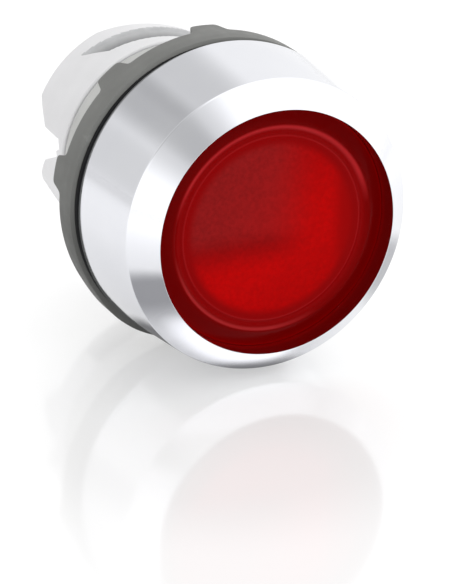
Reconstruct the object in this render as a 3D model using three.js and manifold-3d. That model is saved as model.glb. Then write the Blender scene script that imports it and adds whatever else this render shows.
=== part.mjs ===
// Flush illuminated push-button head for a 22 mm panel hole, in millimetres.
//
// The button's axis is Y. The panel's front surface is the plane y = 0, the head stands in front of
// it towards -Y, and the shank goes back through the panel hole towards +Y. Z is up.
// Every turned piece is a profile of [radius, y] points revolved about the Y axis.
import * as THREE from 'three';
import { mergeVertices } from 'three/addons/utils/BufferGeometryUtils.js';
import Module from 'manifold-3d';

const wasm = await Module();
wasm.setup();

// ---------------------------------------------------------------- driving dimensions

const ROUND = 40; // facets round every turned piece, so that neighbours' facets line up
const SLIP = 0.1; // gap between two pieces that sit together
const RUN = 0.3; // gap between a moving piece and a fixed one

const FRONT = -16.3; // front plane of the bezel
const TRAVEL = 4.3; // how far the button goes in

// bezel: a wide 45 degree bevel round the opening, and a slightly tapered side
const OPENING_R = 11.5;
const CREASE_R = 13.8;
const BEZEL_REAR_R = 14.6;
const BEZEL_REAR = -4.9;
const BEZEL_BORE_R = 12.8;
const BEZEL_LIP = 3.0; // length of the opening's own wall
const O_RING_THICK = 0.8;
const GASKET_R = 14.3;

// collar and seal between the bezel and the panel: loose on the shank, they sit a little off the axis
const COLLAR_R = 14.7;
const COLLAR_BORE_R = 11.5;
const COLLAR_SHIFT = [-0.5, 0, 0.15];
const COLLAR_FRONT = -4.4;
const COLLAR_REAR = -1.3;
const COLLAR_GROOVE_DEPTH = 1.0; // the groove holds the panel seal, inside the tabs
const TAB_WIDTH = 3.1;
const TAB_ANGLES = [89, 129, 169]; // degrees from +X towards +Z, and again half a turn on
const LUG_ANGLE = 226; // a low locating lug on the collar's rim
const LUG_WIDTH = 4.6;
const LUG_HEIGHT = 0.35;
const PANEL_SEAL_R = 13.3;
const PANEL_SEAL_BORE_R = 11.6;

// operator body: front sleeve in the bezel, floor, shank through the panel, spigot
const SLEEVE_R = BEZEL_BORE_R - SLIP;
const SLEEVE_BORE_R = 11.9;
const SLEEVE_FRONT = -12.3;
const FLOOR_FRONT = -5.3;
const FLOOR_REAR = COLLAR_FRONT - SLIP;
const FLOOR_BORE_R = 7.4;
const LIP_SEAL_R = 8.7;
const LIP_SEAL_THICK = 0.65;
const SHANK_R = 10.9;
const SHANK_BORE_R = 8.9;
const SHANK_REAR = 7.6;
const LEDGE_HEIGHT = 0.6; // the ledge in the shank's bore that carries the guide plate
const LEDGE_LENGTH = 0.75;
const SPIGOT_R = 9.4;
const SPIGOT_REAR = 14.05;

// bayonet collar on the spigot, with scoops in its skin
const BAYONET_R = 11.1;
const BAYONET_FRONT = SHANK_REAR + SLIP;
const BAYONET_REAR = 15.5;
const SCOOP_DEPTH = 1.0;

// The collar's rear rim as [degrees from +X towards +Z, y], repeated half a turn on: a long ramp up
// to a level stretch, a deep notch with a small step on its floor, and a finger.
const NOTCH_MIDDLE = 176;
const RIM = [
  [27, 11.4],
  [70, 12.6],
  [113, BAYONET_REAR],
  [155, BAYONET_REAR],
  [167.4, 12.7],
  [168.2, 8.8],
  [173.4, 8.8],
  [174, 9.5],
  [177, 9.1],
  [183.6, 12.2],
  [193, 13.8],
  [197, 14],
  [204, 11.2],
];

// button: lens cap, insert, diffuser, holder and plunger
const CAP_R = OPENING_R - RUN;
const CAP_BORE_R = 10.2;
const CAP_REAR = FRONT + 5.6;
const CAP_FLOOR = FRONT + 3.2;
const DISC_R = CAP_BORE_R - SLIP;
const INSERT_THICK = 0.6;
const LENS_SEAL_THICK = 0.55;
const HOLDER_REAR = FLOOR_FRONT - TRAVEL - 0.05;
const TUBE_R = 6.3;
const TUBE_BORE_R = 5.2;
const TUBE_REAR = 14.9;
const SHOULDER_R = SHANK_BORE_R - RUN;
const SHOULDER_THICK = 1.1;
const SHOULDER_FRONT = FLOOR_REAR + 0.05;
const FOOT_WIDTH = 4.2;

// return spring between the plunger's shoulder and the guide plate
const SPRING_R = 7.45;
const WIRE_R = 0.35;
const SPRING_TURNS = 6;
const GUIDE_FRONT = 11.8;
const GUIDE_REAR = 12.9;
const SNAP_RING_R = 9.1;
const SNAP_RING_THICK = 0.6;
const SNAP_RING_GAP = 3;

// ---------------------------------------------------------------- finishes

const chrome = { color: 0xdcdde2, roughness: 0.08, metalness: 1 };
const blackRubber = { color: 0x17181a, roughness: 0.6, metalness: 0 };
const greyPlastic = { color: 0x7d7e79, roughness: 0.55, metalness: 0 };
const greyRubber = { color: 0x55575a, roughness: 0.8, metalness: 0 };
const naturalPlastic = { color: 0xe4e6de, roughness: 0.35, metalness: 0 };
const whitePlastic = { color: 0xeeeef0, roughness: 0.35, metalness: 0 };
const redLens = { color: 0xa80d10, roughness: 0.12, metalness: 0 };
const milkyPlastic = { color: 0xf1efe9, roughness: 0.5, metalness: 0 };
const clearPlastic = { color: 0xdfe6e8, roughness: 0.05, metalness: 0 };
const springSteel = { color: 0xb9bbbf, roughness: 0.3, metalness: 1 };

// ---------------------------------------------------------------- helpers

const button = new THREE.Group();

function signedVolume(vertices, triangles) {
  const [a, b, c] = [new THREE.Vector3(), new THREE.Vector3(), new THREE.Vector3()];
  let sum = 0;
  for (let i = 0; i < triangles.length; i += 3) {
    a.fromArray(vertices, 3 * triangles[i]);
    b.fromArray(vertices, 3 * triangles[i + 1]);
    c.fromArray(vertices, 3 * triangles[i + 2]);
    sum += a.dot(b.cross(c)) / 6;
  }
  return sum;
}

// A closed geometry as a solid, with its faces pointing out.
function solid(geometry) {
  const plain = geometry.clone();
  plain.deleteAttribute('normal');
  plain.deleteAttribute('uv');
  const merged = mergeVertices(plain, 1e-4);
  const vertices = new Float32Array(merged.attributes.position.array);
  const index = merged.index.array;
  const triangles = [];
  for (let i = 0; i < index.length; i += 3) {
    const [a, b, c] = [index[i], index[i + 1], index[i + 2]];
    if (a !== b && b !== c && c !== a) {
      triangles.push(a, b, c);
    }
  }
  if (signedVolume(vertices, triangles) < 0) {
    triangles.reverse();
  }
  const mesh = new wasm.Mesh({
    numProp: 3,
    vertProperties: vertices,
    triVerts: new Uint32Array(triangles),
  });
  return new wasm.Manifold(mesh);
}

// A profile that touches the axis starts and ends on it; any other closes on itself.
function turned(profile, facets = ROUND) {
  const onAxis = profile[0][0] === 0;
  const points = profile.map(([radius, y]) => new THREE.Vector2(radius, y));
  if (!onAxis) {
    points.push(points[0].clone());
  }
  return solid(new THREE.LatheGeometry(points, facets));
}

function ring(inner, outer, front, rear) {
  return turned([[inner, front], [outer, front], [outer, rear], [inner, rear]]);
}

function disc(radius, front, rear) {
  return turned([[0, front], [radius, front], [radius, rear], [0, rear]]);
}

// A ring with a round section, such as an O-ring.
function roundRing(radius, y, thickness, sides = 6) {
  const profile = [];
  for (let i = 0; i < sides; i += 1) {
    const angle = (2 * Math.PI * i) / sides;
    const r = radius + (thickness / 2) * Math.cos(angle);
    profile.push([r, y + (thickness / 2) * Math.sin(angle)]);
  }
  return turned(profile);
}

// The rear rim's y at an angle.
function rimAt(angle) {
  let turn = angle % 180;
  if (turn < RIM[0][0]) {
    turn += 180;
  }
  const next = RIM.findIndex(([corner]) => corner > turn);
  const [fromAngle, fromY] = RIM.at(next - 1);
  const [toAngle, toY] = next < 0 ? [RIM[0][0] + 180, RIM[0][1]] : RIM[next];
  return fromY + ((toY - fromY) * (turn - fromAngle)) / (toAngle - fromAngle);
}

// A ring between two walls whose front and rear are functions of the angle.
function wavyRing(inner, outer, frontAt, rearAt) {
  const corners = RIM.flatMap(([angle]) => [angle, angle + 180]);
  const facets = Array.from({ length: ROUND }, (_, i) => (i * 360) / ROUND);
  const angles = [...new Set([...corners, ...facets].map((angle) => angle % 360))];
  angles.sort((a, b) => a - b);
  const vertices = [];
  const triangles = [];
  angles.forEach((angle, i) => {
    const direction = THREE.MathUtils.degToRad(angle);
    const [cos, sin] = [Math.cos(direction), Math.sin(direction)];
    const [front, rear] = [frontAt(angle), rearAt(angle)];
    for (const [radius, y] of [[inner, front], [outer, front], [outer, rear], [inner, rear]]) {
      vertices.push(radius * cos, y, radius * sin);
    }
    const here = 4 * i;
    const there = 4 * ((i + 1) % angles.length);
    for (let corner = 0; corner < 4; corner += 1) {
      const next = (corner + 1) % 4;
      triangles.push(here + corner, here + next, there + next);
      triangles.push(here + corner, there + next, there + corner);
    }
  });
  const geometry = new THREE.BufferGeometry();
  geometry.setAttribute('position', new THREE.Float32BufferAttribute(vertices, 3));
  geometry.setIndex(triangles);
  return solid(geometry);
}

// A box centred at (x, y, z), turned about the Y axis by the angle from +X towards +Z.
function box(size, centre, angle = 0) {
  const geometry = new THREE.BoxGeometry(...size);
  geometry.translate(...centre);
  geometry.rotateY(-THREE.MathUtils.degToRad(angle));
  return solid(geometry);
}

function addPiece(name, shape, finish) {
  const mesh = shape.getMesh();
  const geometry = new THREE.BufferGeometry();
  geometry.setAttribute('position', new THREE.BufferAttribute(mesh.vertProperties, 3));
  geometry.setIndex(new THREE.BufferAttribute(mesh.triVerts, 1));
  const piece = new THREE.Mesh(geometry, new THREE.MeshStandardMaterial(finish));
  piece.name = name;
  button.add(piece);
}

// ---------------------------------------------------------------- fixed pieces

function bezelRing() {
  const bevel = CREASE_R - OPENING_R;
  const lipRear = FRONT + BEZEL_LIP;
  return turned([
    [OPENING_R, FRONT],
    [CREASE_R, FRONT + bevel],
    [BEZEL_REAR_R, BEZEL_REAR],
    [BEZEL_BORE_R, BEZEL_REAR],
    [BEZEL_BORE_R, lipRear],
    [OPENING_R, lipRear],
  ]);
}

function frontORing() {
  const lipRear = FRONT + BEZEL_LIP;
  return roundRing(BEZEL_BORE_R - O_RING_THICK / 2 - SLIP, (lipRear + SLEEVE_FRONT) / 2, O_RING_THICK);
}

function bezelGasket() {
  const gap = 0.03;
  return ring(SLEEVE_R + SLIP, GASKET_R, BEZEL_REAR + gap, COLLAR_FRONT - gap);
}

// The part of a ring that lies within a width of its radius at an angle.
function sector(whole, width, angle) {
  return whole.intersect(box([COLLAR_R, 2 * COLLAR_R, width], [COLLAR_R, 0, 0], angle));
}

// Tabs and lug are cut from rings, so that their outer faces follow the collar's facets.
function panelCollar() {
  const grooveR = PANEL_SEAL_R + SLIP;
  const grooveFront = COLLAR_REAR - COLLAR_GROOVE_DEPTH;
  const body = turned([
    [COLLAR_BORE_R, COLLAR_FRONT],
    [COLLAR_R, COLLAR_FRONT],
    [COLLAR_R, COLLAR_REAR],
    [grooveR, COLLAR_REAR],
    [grooveR, grooveFront],
    [COLLAR_BORE_R, grooveFront],
  ]);
  const tabRing = ring(grooveR, COLLAR_R, grooveFront, 0);
  const lugRing = ring(grooveR, COLLAR_R + LUG_HEIGHT, COLLAR_FRONT, COLLAR_REAR);
  let collar = body.add(sector(lugRing, LUG_WIDTH, LUG_ANGLE));
  for (const angle of TAB_ANGLES) {
    collar = collar.add(sector(tabRing, TAB_WIDTH, angle)).add(sector(tabRing, TAB_WIDTH, angle + 180));
  }
  return collar.translate(COLLAR_SHIFT);
}

function panelSeal() {
  const front = COLLAR_REAR - COLLAR_GROOVE_DEPTH + SLIP;
  return ring(PANEL_SEAL_BORE_R, PANEL_SEAL_R, front, 0).translate(COLLAR_SHIFT);
}

// The collar's notches run on through the spigot: away from them the cutter's front rises clear.
function notches() {
  const halfWidth = 18;
  const rise = 3;
  const fromMiddle = (angle) => Math.abs(((angle - NOTCH_MIDDLE + 270) % 180) - 90);
  const frontAt = (angle) => rimAt(angle) + (fromMiddle(angle) > halfWidth ? rise : 0);
  return wavyRing(SHANK_BORE_R - 1, BAYONET_R, frontAt, () => BAYONET_REAR + 2 * rise);
}

function operatorBody() {
  const grooveFront = GUIDE_REAR + SLIP / 2;
  const grooveRear = grooveFront + SNAP_RING_THICK + SLIP;
  const grooveR = SNAP_RING_R + SLIP;
  const body = turned([
    [SLEEVE_BORE_R, SLEEVE_FRONT],
    [SLEEVE_R, SLEEVE_FRONT],
    [SLEEVE_R, FLOOR_REAR],
    [SHANK_R, FLOOR_REAR],
    [SHANK_R, SHANK_REAR],
    [SPIGOT_R, SHANK_REAR],
    [SPIGOT_R, SPIGOT_REAR],
    [SHANK_BORE_R, SPIGOT_REAR],
    [SHANK_BORE_R, grooveRear],
    [grooveR, grooveRear],
    [grooveR, grooveFront],
    [SHANK_BORE_R, grooveFront],
    [SHANK_BORE_R, FLOOR_REAR],
    [FLOOR_BORE_R, FLOOR_REAR],
    [FLOOR_BORE_R, FLOOR_FRONT],
    [SLEEVE_BORE_R, FLOOR_FRONT],
  ]);
  const ledgeRear = GUIDE_FRONT - SLIP / 2;
  const wallMiddleR = (SHANK_BORE_R + SPIGOT_R) / 2;
  const ledge = ring(SHANK_BORE_R - LEDGE_HEIGHT, wallMiddleR, ledgeRear - LEDGE_LENGTH, ledgeRear);
  return body.add(ledge).subtract(notches());
}

// A scoop is a slanted pocket that starts open at the collar's front and ends in a point.
function scoop(side) {
  const tip = BAYONET_REAR - 2.4;
  const mouth = BAYONET_FRONT - 2 * SLIP;
  const outline = new THREE.Shape([
    new THREE.Vector2(-6.7, tip),
    new THREE.Vector2(-5.5, tip - 2.2),
    new THREE.Vector2(1, tip - 4),
    new THREE.Vector2(5.5, mouth),
    new THREE.Vector2(7.2, mouth),
    new THREE.Vector2(7.2, tip - 2),
  ]);
  const geometry = new THREE.ExtrudeGeometry(outline, { depth: BAYONET_R + 1, bevelEnabled: false });
  if (side < 0) {
    geometry.rotateY(Math.PI);
  }
  const skin = ring(BAYONET_R - SCOOP_DEPTH, BAYONET_R + 1, BAYONET_FRONT - 1, BAYONET_REAR);
  return solid(geometry).intersect(skin);
}

function bayonetCollar() {
  return wavyRing(SPIGOT_R + SLIP, BAYONET_R, () => BAYONET_FRONT, rimAt)
    .subtract(scoop(1))
    .subtract(scoop(-1));
}

function lipSeal() {
  const rear = FLOOR_FRONT - SLIP / 2;
  const front = rear - LIP_SEAL_THICK;
  const lipR = TUBE_R + 0.15;
  const lipLength = 0.25;
  return turned([
    [lipR, front - lipLength],
    [lipR + 0.6, front],
    [LIP_SEAL_R, front],
    [LIP_SEAL_R, rear],
    [FLOOR_BORE_R - RUN, rear],
  ]);
}

function sealRetainer() {
  const thick = 0.5;
  const rear = FLOOR_FRONT - SLIP - LIP_SEAL_THICK;
  return ring(FLOOR_BORE_R, LIP_SEAL_R, rear - thick, rear);
}

function guidePlate() {
  return ring(TUBE_R + RUN, SHANK_BORE_R - SLIP, GUIDE_FRONT, GUIDE_REAR);
}

// A snap ring is an open ring: the gap lets it be squeezed into its groove, and lies in a notch.
function guideSnapRing() {
  const front = GUIDE_REAR + SLIP;
  const gap = box([SNAP_RING_R, 4, SNAP_RING_GAP], [SNAP_RING_R, front, 0], NOTCH_MIDDLE);
  return ring(SNAP_RING_R - 0.5, SNAP_RING_R, front, front + SNAP_RING_THICK).subtract(gap);
}

// ---------------------------------------------------------------- moving pieces

// A raised centre with a rounded shoulder, and a flank that falls away to the cap's side.
function lensCap() {
  const face = FRONT + 1.35;
  return turned([
    [0, face + 0.15],
    [8.7, face + 0.05],
    [9.15, face + 0.25],
    [9.7, face - 0.15],
    [10.15, face + 0.1],
    [CAP_R, face + 0.9],
    [CAP_R, CAP_REAR],
    [CAP_BORE_R, CAP_REAR],
    [CAP_BORE_R, CAP_FLOOR],
    [0, CAP_FLOOR],
  ]);
}

function legendInsert() {
  return disc(DISC_R, CAP_FLOOR + 0.05, CAP_FLOOR + INSERT_THICK);
}

function diffuser() {
  const front = CAP_FLOOR + INSERT_THICK + 0.05;
  return disc(DISC_R, front, front + INSERT_THICK);
}

function lensSeal() {
  return roundRing(DISC_R - LENS_SEAL_THICK / 2, CAP_REAR - 0.45, LENS_SEAL_THICK);
}

// The holder's web carries the diffuser, and its rim is the stop that meets the body's floor.
function lensHolder() {
  const webFront = CAP_FLOOR + 2 * INSERT_THICK + SLIP;
  const webRear = webFront + 0.6;
  const rimFront = CAP_REAR + SLIP / 2;
  const stepFront = HOLDER_REAR - 0.5;
  const innerR = LIP_SEAL_R + RUN;
  const wallR = innerR + 0.5;
  const stepR = innerR + 0.8;
  const boreR = TUBE_R + SLIP / 2;
  return turned([
    [boreR, webFront],
    [wallR, webFront],
    [wallR, rimFront],
    [CAP_R, rimFront],
    [CAP_R, HOLDER_REAR],
    [stepR, HOLDER_REAR],
    [stepR, stepFront],
    [innerR, stepFront],
    [innerR, webRear],
    [boreR, webRear],
  ]);
}

function plungerTube() {
  const front = CAP_FLOOR + 2 * INSERT_THICK + 2 * SLIP;
  const shoulderRear = SHOULDER_FRONT + SHOULDER_THICK;
  const neckR = TUBE_BORE_R + 0.6;
  const neckFront = TUBE_REAR - 1.1;
  return turned([
    [TUBE_BORE_R, front],
    [TUBE_R, front],
    [TUBE_R, SHOULDER_FRONT],
    [SHOULDER_R, SHOULDER_FRONT],
    [SHOULDER_R, shoulderRear],
    [TUBE_R, shoulderRear],
    [TUBE_R, neckFront],
    [neckR, neckFront],
    [neckR, TUBE_REAR],
    [TUBE_BORE_R, TUBE_REAR],
  ]);
}

// The collar clips over the tube's neck, and its two feet work the switch blocks behind it.
function thrustCollar() {
  const front = TUBE_REAR - 1.0;
  const bore = TUBE_BORE_R + 0.65;
  const [hubR, footR] = [7.4, 8.4];
  const hub = ring(bore, hubR, front, TUBE_REAR);
  const feet = ring(bore + 0.2, footR, front, BAYONET_REAR - 0.2);
  return hub.add(feet.intersect(box([2 * BAYONET_R, 6, FOOT_WIDTH], [0, TUBE_REAR, 0])));
}

// The guide tapers towards its domed rear end, which faces the lamp.
function lightGuide() {
  const front = CAP_FLOOR + 2 * INSERT_THICK + RUN;
  const collarLength = 3;
  const tipR = 3.6;
  const domeStart = SHOULDER_FRONT - 0.15;
  return turned([
    [0, front],
    [TUBE_BORE_R - SLIP, front],
    [TUBE_BORE_R - SLIP, front + collarLength],
    [tipR, domeStart],
    [0, domeStart + 0.6],
  ]);
}

// The coils close up towards both ends, where the spring sits square.
class SpringCurve extends THREE.Curve {
  constructor(front, rear) {
    super();
    this.front = front;
    this.rear = rear;
  }

  getPoint(t, target = new THREE.Vector3()) {
    const closing = 0.62;
    const along = t - (closing / (2 * Math.PI)) * Math.sin(2 * Math.PI * t);
    const angle = 2 * Math.PI * SPRING_TURNS * t;
    const y = this.front + (this.rear - this.front) * along;
    return target.set(SPRING_R * Math.cos(angle), y, SPRING_R * Math.sin(angle));
  }
}

function returnSpring() {
  const rest = WIRE_R + 0.08;
  const section = new THREE.Shape();
  const sides = 6;
  for (let i = 0; i < sides; i += 1) {
    const angle = (2 * Math.PI * i) / sides;
    const point = [WIRE_R * Math.cos(angle), WIRE_R * Math.sin(angle)];
    if (i === 0) {
      section.moveTo(...point);
    } else {
      section.lineTo(...point);
    }
  }
  section.closePath();
  const path = new SpringCurve(SHOULDER_FRONT + SHOULDER_THICK + rest, GUIDE_FRONT - rest);
  const steps = SPRING_TURNS * 14;
  return solid(new THREE.ExtrudeGeometry(section, { steps, extrudePath: path }));
}

// ---------------------------------------------------------------- assembly

addPiece('bezel_ring', bezelRing(), chrome);
addPiece('front_o_ring', frontORing(), blackRubber);
addPiece('bezel_gasket', bezelGasket(), blackRubber);
addPiece('operator_body', operatorBody(), naturalPlastic);
addPiece('panel_collar', panelCollar(), greyPlastic);
addPiece('panel_seal', panelSeal(), greyRubber);
addPiece('bayonet_collar', bayonetCollar(), whitePlastic);
addPiece('lip_seal', lipSeal(), blackRubber);
addPiece('seal_retainer', sealRetainer(), whitePlastic);
addPiece('guide_plate', guidePlate(), naturalPlastic);
addPiece('guide_snap_ring', guideSnapRing(), springSteel);
addPiece('return_spring', returnSpring(), springSteel);
addPiece('lens_cap', lensCap(), redLens);
addPiece('legend_insert', legendInsert(), milkyPlastic);
addPiece('diffuser', diffuser(), milkyPlastic);
addPiece('lens_seal', lensSeal(), blackRubber);
addPiece('lens_holder', lensHolder(), whitePlastic);
addPiece('light_guide', lightGuide(), clearPlastic);
addPiece('plunger_tube', plungerTube(), whitePlastic);
addPiece('thrust_collar', thrustCollar(), whitePlastic);

export default button;
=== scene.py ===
"""Looks of the flush illuminated push-button head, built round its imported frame.

The button's axis is Y: the front faces -Y, the panel's front surface is the plane y = 0 and the
shank goes back towards +Y. Shapes are worked out in millimetres, from sections cut through the CAD
nodes, and become metres when a mesh is made.
"""

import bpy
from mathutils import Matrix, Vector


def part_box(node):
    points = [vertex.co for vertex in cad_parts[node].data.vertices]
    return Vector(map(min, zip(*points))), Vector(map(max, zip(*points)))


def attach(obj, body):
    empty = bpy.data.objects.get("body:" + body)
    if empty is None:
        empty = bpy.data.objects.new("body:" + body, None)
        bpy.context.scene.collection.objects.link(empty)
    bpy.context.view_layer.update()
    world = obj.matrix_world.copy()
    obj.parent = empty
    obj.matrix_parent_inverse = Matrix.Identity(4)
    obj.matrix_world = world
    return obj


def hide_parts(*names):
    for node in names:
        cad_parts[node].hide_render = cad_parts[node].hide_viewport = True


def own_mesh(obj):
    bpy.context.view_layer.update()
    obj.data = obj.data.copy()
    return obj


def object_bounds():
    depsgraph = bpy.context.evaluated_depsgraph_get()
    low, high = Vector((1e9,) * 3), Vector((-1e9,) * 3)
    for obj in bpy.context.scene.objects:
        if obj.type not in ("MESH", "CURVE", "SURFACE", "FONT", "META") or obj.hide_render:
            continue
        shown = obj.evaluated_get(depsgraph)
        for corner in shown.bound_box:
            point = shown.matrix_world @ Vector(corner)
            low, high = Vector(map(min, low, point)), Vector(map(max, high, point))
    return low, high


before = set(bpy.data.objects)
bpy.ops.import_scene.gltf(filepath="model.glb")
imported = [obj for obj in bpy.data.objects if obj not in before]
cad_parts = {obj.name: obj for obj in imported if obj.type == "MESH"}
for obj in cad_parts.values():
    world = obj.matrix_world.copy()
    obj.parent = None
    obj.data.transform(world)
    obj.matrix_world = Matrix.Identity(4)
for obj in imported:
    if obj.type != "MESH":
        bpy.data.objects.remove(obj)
CAD_BOX = [list(corner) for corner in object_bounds()]

import math

import bmesh
import bpy
from mathutils import Matrix, Vector


# ------------------------------------------------------------------ dimensions
# Lengths are in millimetres and angles in degrees, unless a comment says otherwise.

MM = 0.001  # in metres
CAD_FACETS = 40  # round a turned CAD piece
SECTION_ANGLE = 180 / CAD_FACETS  # the middle of a facet
ON_AXIS = 1e-3  # a smaller radius is on the axis
NEAR = 0.2  # a corner this near a wall's radius is on the wall
AT_PANEL = -0.01  # a corner with a greater y is on the panel's front surface
FINE, FINEST = 288, 360  # columns round a turned piece
SHARP_ANGLE = 40  # faces that meet at more than this keep a sharp edge
EDGE_SHARE = 0.42  # the most of an edge that one rounded corner takes up
SIDE_STEP, SIDE_SHARE = 0.02, 0.05  # from an arc to the point beside it, and its most of the edge

BEZEL_SKIRT = 0.15  # how far the bezel is drawn down over its gasket
BEZEL_EDGE_R, CREST_R, LIP_R = 0.06, 0.35, 0.02  # its edges, where its front starts, its mouth
GASKET_TRIM, GASKET_EDGE_R = 0.02, 0.08  # off the gasket's outer radius, and round its edges
O_RING_FILL, O_RING_SQUASH = 0.47, 0.9  # an O-ring's radius in its room, and how flat it is

LENS_EDGE_R = 0.12
LENS_RADII = {1: 0.15, 2: 0.5, 3: 0.45, 4: 1.5, 5: 0.03}  # corner radii, counted from the middle
LENS_GROWTH = 0.28  # the cap nearly fills the opening
LENS_WALL_R = 11.47  # the cap's side starts here

# Tones on the lens cap's face change over (first, last) radii. A ring has an inner and an outer pair.
DIFFUSER_EDGE = (7.5, 8.4)
FINE_LINE = ((8.6, 8.7), (8.84, 8.74))
SHOULDER = (8.9, 9.9)
# The next two crests carry painted highlights, on the top and on the lower left.
TOP_CREST = ((9.15, 9.5), (9.85, 9.55))
LOW_CREST = ((9.32, 9.55), (9.78, 9.6))
FLANK = (10.2, 11.45)

TAB_FOOT, TAB_TIP = 0.2, 0.3  # how far a tab's foot spreads and its tip draws in, along the rim
TAB_GAP = 10  # corners nearer than this belong to one tab
COLLAR_RIM_R, COLLAR_FRONT_R, COLLAR_REAR_R = 0.45, 0.1, 0.16  # its tabs' corners and its edges
REAR_BAND = 0.4  # straight skin before the collar's rear edge
GROOVE_ROOM, GROOVE_CHAMFER = 0.1, 0.12  # round the seal, and at the groove's mouth
LUG_ANGLE, LUG_HALF, LUG_RAMP, LUG_HEIGHT = 232, 2, 20, 0.25  # half its top, then its slope

BAYONET_RIM_R, BAYONET_FRONT_R, BAYONET_REAR_R = 0.3, 0.25, 0.24
BAYONET_BORE_R, BAYONET_CHAMFER = 0.16, 0.1  # where its bore meets the rim and the front
EDGE_STEPS, SKIN_ROWS = 4, 64  # round each edge of the bayonet collar's skin, and up it
FIRST_SKIN_ROW = EDGE_STEPS + 2  # after the bore's edge and the arc to the skin
RIM_TURN = 0.02  # radians; a smaller turn of the rim is straight
SCOOP_START, SCOOP_SLOPE, SCOOP_DEPTH = 0.2, 0.42, 1.3  # at its rear edge, onward, at most
SCOOP_INSET, SCOOP_PAST = 2.1, 0.2  # ahead of the rim's tip, and past the collar's front
SCOOP_EDGE = (-0.1, 0.25)  # its depth eases in from outside its border to inside it
SCOOP_REAR_FALL = 0.144  # the slope of the scoop's rear edge round the collar
SCOOP_SHADE_FROM = 0.03  # the collar's skin takes the scoop's painted shade where it is sunk by more than this
NOTCH_REACH = 14  # each side of a notch's middle
SPIGOT_BORE_R = 7.0
CUT_PAST = 3  # how far the notches' cutter stands past the body

SNAP_RING_STEPS = 260
WIRE_R = 0.35
WIRE_END = 0.6  # a wire's end is drawn in to this share of its radius
SPRING_TURNS, STEPS_IN_TURN = 6, 48
SPRING_CLOSING = 0.62  # 0 keeps the coils even, and 1 closes them up at the ends
FOOT_HALF_WIDTH = 2.1
FOOT_RAMP = (0.8, -0.2)  # its flank starts this far outside its edge and ends inside it
HUB_STEP = 0.4  # the feet stand this much behind the hub
CLIP_EDGE_R, CLIP_STEPS = 0.12, 720

CAMERA_TURN = (-25.16, 21.78, 0.77)  # azimuth, elevation, roll
CAMERA_DISTANCE = 276
CAMERA_LENS, CAMERA_SENSOR = 191.1, 36
OPENING_RIGHT, OPENING_UP = 4.7, 5.19  # of the picture's middle

FLOOR_Z = CAD_BOX[0][2] - 0.05 * MM  # in metres
FLOOR_HALF = 3.0  # in metres
FLOOR_GREY = 0.46
DIM_SPOT = (-9, -24)  # the floor glows least here
DIM_REACH, DIM_GLOW, NEAR_GLOW = (12, 25), 0.41, 0.5  # from least to most over this distance
FADE_REACH, FADE = (60, 400), 0.2  # farther off it fades to this share
# Each card glows with its grey and shows only in reflections: the dark ones paint shade into the chrome's
# reflections of the floor round the button, and card_front, brighter than 1, paints light there.
# name; height over the floor, centre and half sizes; where its edge is solid, as a share; grey
CARDS = (
    ("card_left", 0.01, (-21.5, -19.0), (12.0, 9.0), 0.3, 0.4),
    ("card_right", 0.01, (27.0, -5.5), (15.0, 9.0), 0.4, 0.62),
    ("card_front", 0.015, (-2.2, -16.4), (13.2, 2.9), 0.6, 1.34),
    ("card_under", 0.02, (-2.2, -5.0), (9.5, 9.2), 0.7, 0.2),
    ("card_rim", 0.03, (-1.0, -12.2), (7.0, 2.6), 0.6, 0.24),
)

BACK_LIGHT, FRONT_LIGHT = 1.1, 1.4  # the studio behind the button and in front of it
# soft dark patches in the white studio: direction, cosine at the edge, depth
DARK_PATCHES = (
    ((-0.36, 0.77, 0.53), 0.97, 0.46),
    ((-0.02, 0.77, 0.64), 0.94, 0.32),
    ((-0.6, 0.77, 0.19), 0.95, 0.25),
    ((-0.5, -0.495, 0.71), 0.97, 0.25),
    ((-0.5, -0.495, 0.71), 0.84, 0.42),
    ((-0.6, 0.15, 0.75), 0.85, 0.62),
)


# ------------------------------------------------------------------ sections of the CAD nodes


def box_mm(node):
    """(lowest corner, highest corner) of a CAD node."""
    low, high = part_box(node)
    return low / MM, high / MM


def cad_points(node, centre=(0, 0)):
    """A CAD node's corners as (radius, degrees from +X towards +Z, y)."""
    points = []
    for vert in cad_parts[node].data.vertices:
        x, z = vert.co.x / MM - centre[0], vert.co.z / MM - centre[1]
        points.append((math.hypot(x, z), math.degrees(math.atan2(z, x)) % 360, vert.co.y / MM))
    return points


def cut_half_plane(node, centre):
    """The edges where a half-plane from the axis, through the middle of a facet, cuts a CAD node."""
    mesh = bmesh.new()
    mesh.from_mesh(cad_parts[node].data)
    bmesh.ops.remove_doubles(mesh, verts=mesh.verts, dist=1e-6)
    shift = Matrix.Translation((-centre[0], 0, -centre[1]))
    turn = Matrix.Rotation(math.radians(SECTION_ANGLE), 4, "Y") @ shift @ Matrix.Scale(1 / MM, 4)
    bmesh.ops.transform(mesh, matrix=turn, verts=mesh.verts)
    edges = []
    for normal in ((1, 0, 0), (0, 0, 1)):
        parts = [*mesh.verts, *mesh.edges, *mesh.faces]
        cut = bmesh.ops.bisect_plane(mesh, geom=parts, dist=1e-5, plane_co=(0, 0, 0), plane_no=normal)
    for item in cut["geom_cut"]:
        if isinstance(item, bmesh.types.BMEdge):
            ends = [(vert.co.x, vert.co.y) for vert in item.verts]
            if max(x for x, _ in ends) > ON_AXIS and min(x for x, _ in ends) > -ON_AXIS:
                edges.append([(round(x, 4), round(y, 4)) for x, y in ends])
    mesh.free()
    return edges


def chain(edges):
    """Edges joined end to end into one line of points, closed or ending on the axis."""
    joined = {}
    for start, end in edges:
        joined.setdefault(start, set()).add(end)
        joined.setdefault(end, set()).add(start)
    ends = [point for point, others in joined.items() if len(others) == 1]
    point = min(ends) if ends else min(joined)
    line = [point]
    while True:
        onward = [other for other in joined[point] if other not in line]
        if not onward:
            return line
        point = onward[0]
        line.append(point)


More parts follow.
